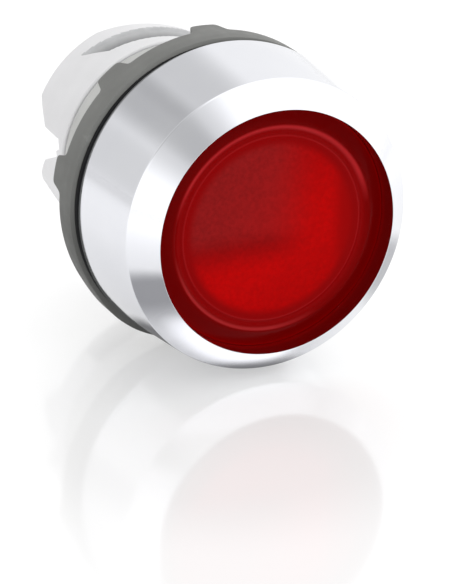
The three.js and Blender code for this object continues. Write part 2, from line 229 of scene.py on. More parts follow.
def is_straight(before, here, after):
    """Whether a line goes straight on at a point, within the rounding of the section's points."""
    along = Vector(here) - Vector(before)
    onward = Vector(after) - Vector(here)
    turn = along.x * onward.y - along.y * onward.x
    return abs(turn) < 2e-3 * along.length * onward.length + 1e-7


def section(node, centre=(0, 0)):
    """The corner points (radius, y) of a CAD node's section, its facets made good."""
    line = chain(cut_half_plane(node, centre))
    corners = []
    for i, point in enumerate(line):
        before, after = line[i - 1], line[(i + 1) % len(line)]
        if point[0] < ON_AXIS or not is_straight(before, point, after):
            corners.append(point)
    roundness = 1 / math.cos(math.pi / CAD_FACETS)
    return [(x * roundness, y) for x, y in corners]


# ------------------------------------------------------------------ meshes


def filleted(corners, radius, steps=4, radii=None, closed=True):
    """A profile with its corners rounded. radii names other radii by corner number.

    A point close beside each end of an arc keeps smooth shading off the flats.
    """
    points = []
    count = len(corners)
    for i, corner in enumerate(corners):
        here = Vector(corner)
        if not closed and i in (0, count - 1):
            points.append(tuple(here))
            continue
        back = Vector(corners[i - 1]) - here
        ahead = Vector(corners[(i + 1) % count]) - here
        half = back.angle(ahead) / 2
        wanted = (radii or {}).get(i, radius)
        reach = min(wanted / math.tan(half), EDGE_SHARE * back.length, EDGE_SHARE * ahead.length)
        start = here + back.normalized() * reach
        end = here + ahead.normalized() * reach
        bow = reach * math.tan(half)
        centre = here + (back.normalized() + ahead.normalized()).normalized() * bow / math.sin(half)
        sweep = (start - centre).angle_signed(end - centre)
        points.append(tuple(start + back.normalized() * min(SIDE_STEP, SIDE_SHARE * back.length)))
        for k in range(steps + 1):
            arm = (start - centre).copy()
            arm.rotate(Matrix.Rotation(-sweep * k / steps, 2))
            points.append(tuple(centre + arm))
        points.append(tuple(end + ahead.normalized() * min(SIDE_STEP, SIDE_SHARE * ahead.length)))
    return points


def quarter(centre_r, centre_y, reach, first, steps):
    """A quarter circle of (radius, y) points that starts at an angle."""
    points = []
    for k in range(steps + 1):
        angle = math.radians(first + 90 * k / steps)
        points.append((centre_r + reach * math.cos(angle), centre_y + reach * math.sin(angle)))
    return points


def rounded_wall(inner, outer, front, rear, fillet, steps=4):
    """A loop of (radius, y) round a wall, with as many points whatever its size is."""
    reach = min(fillet, (rear - front) / 3)
    loop = quarter(outer - reach, front + reach, reach, -90, steps)
    loop += quarter(outer - reach, rear - reach, reach, 0, steps)
    loop += quarter(inner + reach, rear - reach, reach, 90, steps)
    loop += quarter(inner + reach, front + reach, reach, 180, steps)
    return loop


def finish_mesh(node, mesh, body, materials, crease=SHARP_ANGLE):
    """A bmesh in millimetres as the piece that replaces a CAD node."""
    bmesh.ops.recalc_face_normals(mesh, faces=mesh.faces)
    bmesh.ops.scale(mesh, vec=(MM, MM, MM), verts=mesh.verts)
    data = bpy.data.meshes.new(node + "_fine")
    mesh.to_mesh(data)
    mesh.free()
    for material in materials:
        data.materials.append(material)
    data.shade_smooth()
    data.set_sharp_from_angle(angle=math.radians(crease))
    piece = bpy.data.objects.new(node + "_fine", data)
    bpy.context.scene.collection.objects.link(piece)
    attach(piece, body)
    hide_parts(node)
    return piece


def ring_mesh(loops, turns, closed_profile=True, full_turn=True):
    """Quads between loops of (radius, y) at turns in radians, all loops with as many points."""
    mesh = bmesh.new()
    columns = []
    for loop, turn in zip(loops, turns):
        column = []
        for radius, y in loop:
            column.append(mesh.verts.new((radius * math.cos(turn), y, radius * math.sin(turn))))
        columns.append(column)
    count = len(columns)
    for i in range(count if full_turn else count - 1):
        left, right = columns[i], columns[(i + 1) % count]
        rows = len(left)
        for j in range(rows if closed_profile else rows - 1):
            k = (j + 1) % rows
            mesh.faces.new((left[j], left[k], right[k], right[j]))
    if not full_turn:
        mesh.faces.new(columns[0])
        mesh.faces.new(columns[-1])
    return mesh


def turned_mesh(profile, columns=FINE):
    """A profile revolved about the Y axis. One that starts on the axis is capped there."""
    turns = [2 * math.pi * i / columns for i in range(columns)]
    if profile[0][0] > ON_AXIS:
        return ring_mesh([profile] * columns, turns)
    inner = profile[1:-1]
    mesh = ring_mesh([inner] * columns, turns, closed_profile=False)
    mesh.verts.ensure_lookup_table()
    rows = len(inner)
    for tip, row in ((profile[0], 0), (profile[-1], rows - 1)):
        centre = mesh.verts.new((0, tip[1], 0))
        mesh.verts.ensure_lookup_table()
        for i in range(columns):
            first = mesh.verts[i * rows + row]
            second = mesh.verts[(i + 1) % columns * rows + row]
            mesh.faces.new((centre, first, second))
    return mesh


def tube_mesh(points, radius, sides=16):
    """A round wire through points, with domed ends."""
    mesh = bmesh.new()
    rings = []
    count = len(points)
    for i, point in enumerate(points):
        ahead = points[min(i + 1, count - 1)] - points[max(i - 1, 0)]
        axis = ahead.normalized()
        side = axis.cross(Vector((0, 1, 0))).normalized()
        up = side.cross(axis)
        scale = WIRE_END if i in (0, count - 1) else 1
        ring = []
        for k in range(sides):
            angle = 2 * math.pi * k / sides
            offset = (side * math.cos(angle) + up * math.sin(angle)) * radius * scale
            ring.append(mesh.verts.new(point + offset))
        rings.append(ring)
    for left, right in zip(rings, rings[1:]):
        for k in range(sides):
            j = (k + 1) % sides
            mesh.faces.new((left[k], left[j], right[j], right[k]))
    mesh.faces.new(rings[0])
    mesh.faces.new(rings[-1])
    return mesh


def smoothstep(low, high, value):
    """0 at low, 1 at high, and an eased slope between them. low may be the greater."""
    t = min(max((value - low) / (high - low), 0), 1)
    return t * t * (3 - 2 * t)


# ------------------------------------------------------------------ shader nodes


def add_node(tree, kind, inputs=None, **settings):
    """A node with its settings, and its inputs given as values or as sockets to link."""
    node = tree.nodes.new(kind)
    for key, value in settings.items():
        setattr(node, key, value)
    for key, value in (inputs or {}).items():
        if isinstance(value, bpy.types.NodeSocket):
            tree.links.new(value, node.inputs[key])
        else:
            node.inputs[key].default_value = value
    return node


def position(tree):
    return add_node(tree, "ShaderNodeTexCoord").outputs["Object"]


def multiply(tree, first, second):
    return add_node(tree, "ShaderNodeMath", {0: first, 1: second}, operation="MULTIPLY").outputs["Value"]


def map_range(tree, value, low, high, to_low=0.0, to_high=1.0):
    """to_low at low, to_high at high, and an eased slope between them. low may be the greater."""
    inputs = {0: value, 1: low, 2: high, 3: to_low, 4: to_high}
    return add_node(tree, "ShaderNodeMapRange", inputs, interpolation_type="SMOOTHSTEP").outputs[0]


def across(tree, direction):
    """Distance from the axis along a direction square to it."""
    inputs = {0: position(tree), 1: tuple(c / MM for c in direction)}
    return add_node(tree, "ShaderNodeVectorMath", inputs, operation="DOT_PRODUCT").outputs["Value"]


def from_axis(tree):
    """Distance from the button's axis."""
    parts = add_node(tree, "ShaderNodeSeparateXYZ", {"Vector": position(tree)})
    flat = add_node(tree, "ShaderNodeCombineXYZ", {"X": parts.outputs["X"], "Z": parts.outputs["Z"]})
    length = add_node(tree, "ShaderNodeVectorMath", {0: flat.outputs["Vector"]}, operation="LENGTH")
    return multiply(tree, length.outputs["Value"], 1 / MM)


def round_axis(tree):
    """Turn round the button's axis: 0 at -X, 0.25 at -Z, 0.5 at +X, 0.75 at +Z."""
    parts = add_node(tree, "ShaderNodeSeparateXYZ", {"Vector": position(tree)})
    inputs = {0: parts.outputs["Z"], 1: parts.outputs["X"]}
    angle = add_node(tree, "ShaderNodeMath", inputs, operation="ARCTAN2").outputs["Value"]
    inputs = {0: angle, 1: 1 / (2 * math.pi), 2: 0.5}
    return add_node(tree, "ShaderNodeMath", inputs, operation="MULTIPLY_ADD").outputs["Value"]


def ring_mask(tree, radius, inner_edge, outer_edge):
    """1 on a ring round the axis and 0 off it, easing over the radii of its two edges."""
    return multiply(tree, map_range(tree, radius, *inner_edge), map_range(tree, radius, *outer_edge))


def noise(tree, per_mm, detail=3, stretch=None):
    """Noise from 0 to 1 with about per_mm lumps in a millimetre."""
    where = position(tree)
    if stretch:
        where = add_node(tree, "ShaderNodeMapping", {"Vector": where, "Scale": stretch}).outputs["Vector"]
    inputs = {"Vector": where, "Scale": per_mm / MM, "Detail": detail, "Roughness": 0.55}
    return add_node(tree, "ShaderNodeTexNoise", inputs).outputs["Fac"]


def ramp(tree, value, stops):
    """Values or colours along 0 to 1, as a list of (place, colour)."""
    node = add_node(tree, "ShaderNodeValToRGB", {"Fac": value})
    elements = node.color_ramp.elements
    while len(elements) < len(stops):
        elements.new(0.5)
    for element, (place, colour) in zip(elements, stops):
        element.position = place
        if isinstance(colour, (int, float)):
            colour = (colour,) * 3
        element.color = (*colour, 1)
    return node.outputs["Color"]


def mix_colour(tree, factor, first, second, blend="MIX"):
    """Two colours mixed. The factor and the colours are values or sockets."""
    node = add_node(tree, "ShaderNodeMix", data_type="RGBA", blend_type=blend)
    # a colour mix takes its factor at input 0 and its colours at 6 and 7
    for index, value in ((0, factor), (6, first), (7, second)):
        if isinstance(value, bpy.types.NodeSocket):
            tree.links.new(value, node.inputs[index])
        elif index == 0:
            node.inputs[index].default_value = value
        else:
            node.inputs[index].default_value = (*value, 1)
    return node.outputs[2]


def bump(tree, height, depth_mm, strength=1.0):
    inputs = {"Height": height, "Distance": depth_mm * MM, "Strength": strength}
    return add_node(tree, "ShaderNodeBump", inputs).outputs["Normal"]


def start_material(name):
    """(material, its node tree, its shader)"""
    material = bpy.data.materials.new(name)
    material.use_nodes = True
    return material, material.node_tree, material.node_tree.nodes["Principled BSDF"]


# ------------------------------------------------------------------ materials


def moulded(
        name, colour, roughness, grain=6.0, grain_depth=0.004, mottle=0.05, worn=0.0, painted_recess_shade=0.0,
        painted_underside_shade=(), **sockets):
    """Moulded plastic or rubber: mottled colour, uneven gloss, fine grain, paler worn edges.

    Recesses get painted shade, darker the more they are hidden. A painted shade also runs from 6 mm
    below the axis to 11 mm above it: the underside dark, the top paler.
    """
    material, tree, shader = start_material(name)
    darker = tuple(c * (1 - mottle) for c in colour)
    lighter = tuple(min(c * (1 + mottle), 1) for c in colour)
    tone = ramp(tree, noise(tree, 0.35), [(0.3, darker), (0.7, lighter)])
    if worn:
        edge = add_node(tree, "ShaderNodeNewGeometry").outputs["Pointiness"]
        mask = ramp(tree, edge, [(0.52, 0.0), (0.62, worn)])
        pale = tuple(min(c * 1.35 + 0.04, 1) for c in colour)
        tone = mix_colour(tree, mask, tone, pale)
    # Painted shade: recesses darken by their ambient occlusion.
    if painted_recess_shade:
        occlusion = add_node(tree, "ShaderNodeAmbientOcclusion", {"Distance": 3 * MM}, samples=12)
        shade = ramp(tree, occlusion.outputs["AO"], [(0.35, 1 - painted_recess_shade), (0.95, 1.0)])
        tone = mix_colour(tree, 1.0, tone, shade, "MULTIPLY")
    # Painted shade: darker towards the underside, paler towards the top.
    if painted_underside_shade:
        tone_scale = ramp(tree, map_range(tree, across(tree, (0, 0, 1)), -6, 11), painted_underside_shade)
        tone = mix_colour(tree, 1.0, tone, tone_scale, "MULTIPLY")
    tree.links.new(tone, shader.inputs["Base Color"])
    gloss = ramp(tree, noise(tree, 1.1), [(0.25, roughness * 0.86), (0.75, min(roughness * 1.14, 1))])
    tree.links.new(gloss, shader.inputs["Roughness"])
    tree.links.new(bump(tree, noise(tree, grain), grain_depth), shader.inputs["Normal"])
    for socket, value in sockets.items():
        shader.inputs[socket.replace("_", " ")].default_value = value
    return material


def polished_chrome():
    """Bright chrome plate: a faint haze, fine wiping marks and slight waviness."""
    material, tree, shader = start_material("polished_chrome")
    shader.inputs["Metallic"].default_value = 1
    tone = ramp(tree, noise(tree, 0.12), [(0.3, (0.74, 0.747, 0.785)), (0.7, (0.77, 0.777, 0.81))])
    tree.links.new(tone, shader.inputs["Base Color"])
    haze_and_painted_reflection = ramp(tree, noise(tree, 0.5), [(0.3, 0.075), (0.75, 0.12)])
    wiped = ramp(tree, noise(tree, 2.0, 2, (1, 0.08, 1)), [(0.62, 0.0), (0.8, 0.05)])
    gloss = mix_colour(tree, 1.0, haze_and_painted_reflection, wiped, "ADD")
    tree.links.new(gloss, shader.inputs["Roughness"])
    tree.links.new(bump(tree, noise(tree, 0.18, 1), 0.004, 0.35), shader.inputs["Normal"])
    return material


def spring_steel():
    """Drawn wire: fine lines, a little dark in the low spots."""
    material, tree, shader = start_material("spring_steel")
    shader.inputs["Metallic"].default_value = 1
    tone = ramp(tree, noise(tree, 1.5), [(0.35, (0.42, 0.42, 0.43)), (0.65, (0.62, 0.62, 0.63))])
    tree.links.new(tone, shader.inputs["Base Color"])
    gloss = ramp(tree, noise(tree, 4.0), [(0.3, 0.22), (0.7, 0.36)])
    tree.links.new(gloss, shader.inputs["Roughness"])
    tree.links.new(bump(tree, noise(tree, 9.0, 2, (1, 6, 1)), 0.004), shader.inputs["Normal"])
    return material


def diffuser_and_painted_light(tree):
    """The diffuser through the red lens, with a painted glow and a painted reflection in its upper left.
    """
    right, up = across(tree, (1, 0, 0)), across(tree, (0, 0, 1))
    # Painted light: the diffuser glows brighter towards the lower right.
    glow = ramp(tree, map_range(tree, across(tree, (0.5, 0, -0.87)), -8, 8), [
        (0.0, (0.31, 0.001, 0.0014)), (0.55, (0.42, 0.001, 0.0012)), (0.8, (0.43, 0.001, 0.0012)),
        (1.0, (0.38, 0.0008, 0.001))])
    # A painted reflection of the studio, pale and greyish red.
    haze_and_painted_reflection = ramp(tree, map_range(tree, across(tree, (0.9, 0, -0.43)), -7, 3), [
        (0.0, (0.24, 0.0078, 0.0082)), (0.5, (0.275, 0.007, 0.0074)), (1.0, (0.33, 0.0055, 0.006))])
    # Painted shade along the lower edge of the painted reflection.
    painted_reflection_and_shade = mix_colour(tree, map_range(tree, up, -2.0, 0.4), (0.225, 0.002, 0.0024), haze_and_painted_reflection)
    # The painted reflection fills the upper left quarter.
    painted_reflection_area = multiply(tree, map_range(tree, right, 5.0, -0.4), map_range(tree, up, -4.0, -0.6))
    grain = ramp(tree, noise(tree, 2.6, 4), [(0.3, 0.86), (0.7, 1.1)])
    disc = mix_colour(tree, 1.0, mix_colour(tree, painted_reflection_area, glow, painted_reflection_and_shade), grain, "MULTIPLY")
    return mix_colour(tree, map_range(tree, right, 5.6, 7.4), disc, (0.28, 0.001, 0.0012))


def lens_face():
    """Clear red plastic over a grained diffuser, deeper red where there is no diffuser behind it.

    A fine line runs round the diffuser. Painted highlights lie on the rounded crest outside it,
    along its top and, more thinly, along its lower left.
    """
    material, tree, shader = start_material("lens_face")
    radius, turn = from_axis(tree), round_axis(tree)
    past_diffuser = map_range(tree, radius, *DIFFUSER_EDGE)
    middle = mix_colour(tree, past_diffuser, diffuser_and_painted_light(tree), (0.23, 0.001, 0.0014))
    line = multiply(tree, ring_mask(tree, radius, *FINE_LINE), 0.45)
    lined = mix_colour(tree, line, middle, (0.34, 0.01, 0.012))
    flank = ramp(tree, map_range(tree, radius, *FLANK), [
        (0.0, (0.15, 0.0, 0.0)), (0.5, (0.17, 0.0, 0.0)), (0.9, (0.2, 0.0, 0.0)), (1.0, (0.3, 0.0, 0.0))])
    bare = mix_colour(tree, map_range(tree, radius, *SHOULDER), lined, flank)
    # Painted highlights on the crest: broad along the top, thin along the lower left.
    top_light = ramp(tree, turn, [(0.52, 0.0), (0.57, 1.0), (0.91, 1.0), (0.97, 0.0)])
    top = multiply(tree, ring_mask(tree, radius, *TOP_CREST), top_light)
    crowned = mix_colour(tree, top, bare, (0.39, 0.015, 0.018))
    low_light = ramp(tree, turn, [(0.02, 0.0), (0.09, 0.8), (0.25, 0.8), (0.33, 0.0)])
    low = multiply(tree, ring_mask(tree, radius, *LOW_CREST), low_light)
    tone = mix_colour(tree, low, crowned, (0.34, 0.018, 0.02))
    tree.links.new(tone, shader.inputs["Base Color"])
    gloss = ramp(tree, noise(tree, 0.7), [(0.3, 0.14), (0.7, 0.2)])
    tree.links.new(gloss, shader.inputs["Roughness"])
    shader.inputs["Specular IOR Level"].default_value = 0.02
    tree.links.new(bump(tree, noise(tree, 0.5, 1), 0.004, 0.3), shader.inputs["Normal"])
    return material


def scoop_painted_shade():
    """The white collar's plastic inside a scoop, painted with shade: darker the deeper it is."""
    material, tree, shader = start_material("scoop_painted_shade")
    # Painted shade: the deeper into the scoop, the darker.
    tone = ramp(tree, map_range(tree, from_axis(tree), 9.8, 11.05), [
        (0.0, (0.12, 0.121, 0.124)), (0.5, (0.26, 0.262, 0.265)), (1.0, (0.52, 0.523, 0.53))])
    tone_scale = ramp(tree, noise(tree, 1.2), [(0.3, 0.94), (0.7, 1.04)])
    tree.links.new(mix_colour(tree, 1.0, tone, tone_scale, "MULTIPLY"), shader.inputs["Base Color"])
    gloss = ramp(tree, noise(tree, 1.1), [(0.3, 0.34), (0.7, 0.44)])
    tree.links.new(gloss, shader.inputs["Roughness"])
    tree.links.new(bump(tree, noise(tree, 4), 0.003), shader.inputs["Normal"])
    return material


CHROME = polished_chrome()
BLACK_RUBBER = moulded(
    "black_rubber", (0.007, 0.007, 0.008), roughness=0.6, grain=7, mottle=0.15,
    Specular_IOR_Level=0.2)
GREY_RUBBER = moulded(
    "grey_rubber", (0.09, 0.094, 0.1), roughness=0.7, grain=7, grain_depth=0.006, mottle=0.12,
    worn=0.4)
# grey_plastic is painted darker towards its underside, as shade.
GREY_PLASTIC = moulded(
    "grey_plastic", (0.172, 0.174, 0.166), roughness=0.5, grain=8, grain_depth=0.006, worn=0.35,
    painted_underside_shade=[(0.0, 0.55), (0.12, 0.6), (0.36, 0.82), (1.0, 1.0)], Specular_IOR_Level=0.2)
# natural_plastic and white_plastic get painted shade in their recesses.
NATURAL_PLASTIC = moulded(
    "natural_plastic", (0.5, 0.502, 0.488), roughness=0.34, grain=3, grain_depth=0.003, mottle=0.03,
    painted_recess_shade=0.1, Subsurface_Weight=0.2, Subsurface_Radius=(1, 1, 1), Subsurface_Scale=0.8 * MM)
WHITE_PLASTIC = moulded(
    "white_plastic", (0.72, 0.717, 0.728), roughness=0.36, grain=4, grain_depth=0.003, mottle=0.02,
    painted_recess_shade=0.1, Subsurface_Weight=0.1, Subsurface_Radius=(1, 1, 1), Subsurface_Scale=0.4 * MM)
SCOOP_PAINTED_SHADE = scoop_painted_shade()
MILKY_PLASTIC = moulded(
    "milky_plastic", (0.86, 0.85, 0.82), roughness=0.45, grain=5, grain_depth=0.006, mottle=0.04,
    Subsurface_Weight=0.5, Subsurface_Radius=(1, 1, 1), Subsurface_Scale=1.0 * MM)
CLEAR_PLASTIC = moulded(
    "clear_plastic", (0.93, 0.95, 0.95), roughness=0.06, grain=0.8, grain_depth=0.001, mottle=0.01,
    Transmission_Weight=0.85, IOR=1.49)
SPRING_STEEL = spring_steel()
LENS_FACE = lens_face()
LENS_WALL = moulded(
    "lens_wall", (0.3, 0.0003, 0.0005), roughness=0.38, grain=1.5, grain_depth=0.001, mottle=0.12,
    Specular_IOR_Level=0.1)


# ------------------------------------------------------------------ turned pieces


def fine_profile(node, fillet, centre=(0, 0)):
    """The CAD node's own section, with its edges rounded."""
    corners = section(node, centre)
    return filleted(corners, fillet, closed=corners[0][0] > ON_AXIS)


def turned_piece(node, body, material, fillet):
    mesh = turned_mesh(fine_profile(node, fillet))
    finish_mesh(node, mesh, body, [material])


def round_ring(node, body, material, sides=20):
    """An O-ring with the CAD node's outer size. The CAD ring's section is a hexagon."""
    low, high = box_mm(node)
    thick = (high.y - low.y) / math.sin(math.radians(60))
    half = O_RING_FILL * thick
    radius = high.x - thick / 2
    middle = (low.y + high.y) / 2
    profile = []
    for i in range(sides):
        angle = 2 * math.pi * i / sides
        y = middle + O_RING_SQUASH * half * math.sin(angle)
        profile.append((radius + half * math.cos(angle), y))
    finish_mesh(node, turned_mesh(profile), body, [material])


def collar_centre():
    """Where the loose collar's own axis is, as (x, z)."""
    low, high = box_mm("panel_seal")
    return (low.x + high.x) / 2, (low.z + high.z) / 2


def bezel():
    """The chrome bezel, drawn down over its gasket at the rear."""
    corners = section("bezel_ring")
    rear = max(y for _, y in corners)
    corners = [(radius, y + BEZEL_SKIRT if y == rear else y) for radius, y in corners]
    numbers = range(len(corners))
    crest = max(numbers, key=lambda i: corners[i][0] - 0.5 * corners[i][1])
    lip = min(numbers, key=lambda i: corners[i][1])
    profile = filleted(corners, BEZEL_EDGE_R, steps=8, radii={crest: CREST_R, lip: LIP_R})
    finish_mesh("bezel_ring", turned_mesh(profile, FINEST), "housing", [CHROME])


def gasket():
    """The bezel's gasket: its bore fits the sleeve, and its edge follows the loose collar."""
    low, high = box_mm("bezel_gasket")
    front = low.y + BEZEL_SKIRT
    bore = min(radius for radius, _, _ in cad_points("bezel_gasket"))
    centre = Vector(collar_centre())
    outer = high.x - GASKET_TRIM
    turns = [2 * math.pi * i / FINE for i in range(FINE)]
    loops = []
    for turn in turns:
        along = Vector((math.cos(turn), math.sin(turn)))
        aside = centre - along * centre.dot(along)
        reach = centre.dot(along) + math.sqrt(outer**2 - aside.length_squared)
        loops.append(rounded_wall(bore, reach, front, high.y, GASKET_EDGE_R))
    finish_mesh("bezel_gasket", ring_mesh(loops, turns), "housing", [BLACK_RUBBER])


def lens_cap():
    """A raised disc with a fine line round it, a rounded shoulder, and a flank down to the side."""
    corners = section("lens_cap")
    side = max(radius for radius, _ in corners)
    grown = [(radius + LENS_GROWTH if radius > side - 0.01 else radius, y) for radius, y in corners]
    mesh = turned_mesh(filleted(grown, LENS_EDGE_R, radii=LENS_RADII, closed=False), FINEST)
    piece = finish_mesh("lens_cap", mesh, "plunger", [LENS_FACE, LENS_WALL])
    for face in piece.data.polygons:
        if math.hypot(face.center.x, face.center.z) / MM > LENS_WALL_R:
            face.material_index = 1


# ------------------------------------------------------------------ pieces with a shaped rim


def rim_columns(outline, radius, fillet, step=0.8):
    """An outline of (degrees, y) once round a wall of a radius, its corners rounded, as columns.

    The columns are at most a step of degrees apart.
    """
    arc = math.radians(1) * radius
    flat = [Vector((angle * arc, y)) for angle, y in outline]
    turn = Vector((360 * arc, 0))
    around = [flat[-1] - turn, *flat, flat[0] + turn]
    rounded = filleted([tuple(point) for point in around], fillet, closed=False)[1:-1]
    columns = []
    for i, (along, y) in enumerate(rounded):
        columns.append((along / arc, y))
        if i + 1 < len(rounded):
            next_along, next_y = rounded[i + 1]
        else:
            next_along, next_y = rounded[0][0] + turn.x, rounded[0][1]
        extra = int((next_along - along) / arc / step)
        for k in range(1, extra + 1):
            share = k / (extra + 1)
            columns.append(((along + (next_along - along) * share) / arc, y + (next_y - y) * share))
    return columns


def tab_spans(node, centre):
    """The (first, last) degrees of each tab that stands out at the rear of a collar."""
    points = cad_points(node, centre)
    rear_points = [(radius, angle) for radius, angle, y in points if y > AT_PANEL]
    outer = max(radius for radius, _ in rear_points)
    angles = sorted({round(angle, 2) for radius, angle in rear_points if radius > outer - NEAR})
    spans = []
    for angle in angles:
        if spans and angle - spans[-1][1] < TAB_GAP:
            spans[-1][1] = angle
        else:
            spans.append([angle, angle])
    return spans


def panel_seal():
    """The seal ring in the loose collar's groove."""
    centre = collar_centre()
    mesh = turned_mesh(fine_profile("panel_seal", fillet=0.18, centre=centre))
    bmesh.ops.translate(mesh, vec=(centre[0], 0, centre[1]), verts=mesh.verts)
    finish_mesh("panel_seal", mesh, "housing", [GREY_RUBBER])


def panel_collar():
    """The loose grey collar, with its tabs and its lug."""
    centre = collar_centre()
    points = cad_points("panel_collar", centre)
    front = min(y for _, _, y in points)
    bore = min(radius for radius, _, _ in points)
    outer = max(radius for radius, _, y in points if y > AT_PANEL)
    groove_r = box_mm("panel_seal")[1].x - centre[0] + GROOVE_ROOM
    _, groove_front, shelf, *_ = sorted({round(y, 2) for _, _, y in points})
    arc = math.radians(1) * outer
    foot, tip = TAB_FOOT / arc, TAB_TIP / arc
    outline = []
    for first, last in tab_spans("panel_collar", centre):
        outline += [(first - foot, shelf), (first + tip, 0), (last - tip, 0), (last + foot, shelf)]
    outline.sort()
    columns = rim_columns(outline, outer, COLLAR_RIM_R)
    loops = []
    for angle, rear in columns:
        lug = smoothstep(LUG_HALF + LUG_RAMP, LUG_HALF, abs(angle - LUG_ANGLE))
        skin = outer + LUG_HEIGHT * lug
        loop = [(bore, front)]
        loop += quarter(skin - COLLAR_FRONT_R, front + COLLAR_FRONT_R, COLLAR_FRONT_R, -90, 2)
        loop += [(skin, (front + shelf) / 2), (skin, rear - REAR_BAND)]
        loop += quarter(skin - COLLAR_REAR_R, rear - COLLAR_REAR_R, COLLAR_REAR_R, 0, 2)
        loop += [(groove_r + GROOVE_CHAMFER, rear), (groove_r, rear - GROOVE_CHAMFER)]
        loop += [(groove_r, groove_front), (bore, groove_front)]
        loops.append(loop)
    mesh = ring_mesh(loops, [math.radians(angle) for angle, _ in columns])
    bmesh.ops.translate(mesh, vec=(centre[0], 0, centre[1]), verts=mesh.verts)
    finish_mesh("panel_collar", mesh, "housing", [GREY_PLASTIC], crease=32)


def bayonet_rim():
    """(rear rim's corners as (degrees, y), inner radius, outer radius, front) of the bayonet collar.

    The rim is read where the CAD collar's two walls end together.
    """
    points = cad_points("bayonet_collar")
    outer = max(radius for radius, _, _ in points)
    inner = min(radius for radius, _, _ in points)
    front = min(y for _, _, y in points)
    inside = {(round(a, 1), round(y, 2)) for radius, a, y in points if radius < inner + NEAR}
    rim = set()
    for radius, angle, y in points:
        place = (round(angle, 1), round(y, 2))
        if radius > outer - NEAR and y > front + 0.5 and place in inside:
            rim.add(place)
    rim = sorted(rim)
    corners = []
    for i, here in enumerate(rim):
        before, after = rim[i - 1], rim[(i + 1) % len(rim)]
        along = Vector(((here[0] - before[0]) % 360, here[1] - before[1]))
        onward = Vector(((after[0] - here[0]) % 360, after[1] - here[1]))
        if abs(along.angle_signed(onward)) > RIM_TURN:
            corners.append(here)
    return corners, inner, outer, front


def scoop_depth(x, y, tip, mouth):
    """How deep the scoop is at a place on the collar's skin. Its floor slopes down to the front.

    x goes sideways and y towards the rear. tip is where the scoop's pointed rear corner is, and
    mouth is the y at which it opens past the collar's front.
    """
    outline = [
        (-6.8, tip), (-5.0, tip - 2.8), (1, tip - 4.35), (5.5, mouth), (7.2, mouth), (7.2, tip - 2)]
    nearest = math.inf
    inside = False
    for i, (x1, y1) in enumerate(outline):
        x2, y2 = outline[(i + 1) % len(outline)]
        dx, dy = x2 - x1, y2 - y1
        share = min(max(((x - x1) * dx + (y - y1) * dy) / (dx * dx + dy * dy), 0), 1)
        nearest = min(nearest, math.hypot(x - x1 - share * dx, y - y1 - share * dy))
        if (y1 > y) != (y2 > y) and x < x1 + (y - y1) * dx / dy:
            inside = not inside
    signed = nearest if inside else -nearest
    below_rear_edge = tip - SCOOP_REAR_FALL * (x + 6.7) - y
    floor = min(max(SCOOP_START + SCOOP_SLOPE * below_rear_edge, 0), SCOOP_DEPTH)
    return floor * smoothstep(*SCOOP_EDGE, signed)


def bayonet_collar():
    """The white collar on the spigot: a wavy rear rim and two scoops in its skin."""
    corners, inner, outer, front = bayonet_rim()
    columns = rim_columns(corners, outer, BAYONET_RIM_R, step=0.45)
    tip = max(y for _, y in corners) - SCOOP_INSET
    mouth = front - SCOOP_PAST
    skin_front = front + BAYONET_FRONT_R
    loops = []
    for angle, rear in columns:
        direction = math.radians(angle)
        side = 1 if math.sin(direction) > 0 else -1
        skin_rear = rear - BAYONET_REAR_R
        loop = [(inner + BAYONET_CHAMFER, front)]
        loop += quarter(outer - BAYONET_FRONT_R, skin_front, BAYONET_FRONT_R, -90, EDGE_STEPS)
        for j in range(SKIN_ROWS + 1):
            y = skin_front + (skin_rear - skin_front) * j / SKIN_ROWS
            depth = scoop_depth(side * outer * math.cos(direction), y, tip, mouth)
            loop.append((outer - depth, y))
        loop += quarter(outer - BAYONET_REAR_R, skin_rear, BAYONET_REAR_R, 0, EDGE_STEPS)[1:]
        loop += quarter(inner + BAYONET_BORE_R, rear - BAYONET_BORE_R, BAYONET_BORE_R, 90, 2)
        loop.append((inner, front + BAYONET_CHAMFER))
        loops.append(loop)
    mesh = ring_mesh(loops, [math.radians(angle) for angle, _ in columns])
    plain_and_painted_shade = [WHITE_PLASTIC, SCOOP_PAINTED_SHADE]
    piece = finish_mesh("bayonet_collar", mesh, "housing", plain_and_painted_shade, crease=50)
    # Faces sunk into a scoop get its painted shade.
    for face in piece.data.polygons:
        skin_row = face.index % len(loops[0]) - FIRST_SKIN_ROW
        reach = math.hypot(face.center.x, face.center.z) / MM
        if 0 <= skin_row < SKIN_ROWS and reach < outer - SCOOP_SHADE_FROM:
            face.material_index = 1


def notch_cutter():
    """What the bayonet's notches take out of the spigot, down to the white collar's rim."""
    corners, _, outer, _ = bayonet_rim()
    deepest = min(y for _, y in corners)
    columns = rim_columns(corners, outer, BAYONET_RIM_R)
    middles = [angle for angle, y in corners if y < deepest + 0.01]
    clear = box_mm("operator_body")[1].y + CUT_PAST
    loops = []
    for angle, rear in columns:
        away = min(abs((angle - middle + 180) % 360 - 180) for middle in middles)
        floor = rear if away < NOTCH_REACH else clear - 1
        loops.append([(SPIGOT_BORE_R, floor), (outer, floor), (outer, clear), (SPIGOT_BORE_R, clear)])
    mesh = ring_mesh(loops, [math.radians(angle) for angle, _ in columns])
    bmesh.ops.recalc_face_normals(mesh, faces=mesh.faces)
    bmesh.ops.scale(mesh, vec=(MM, MM, MM), verts=mesh.verts)
    data = bpy.data.meshes.new("cutter")
    mesh.to_mesh(data)
    mesh.free()
    cutter = bpy.data.objects.new("cutter", data)
    bpy.context.scene.collection.objects.link(cutter)
    return cutter


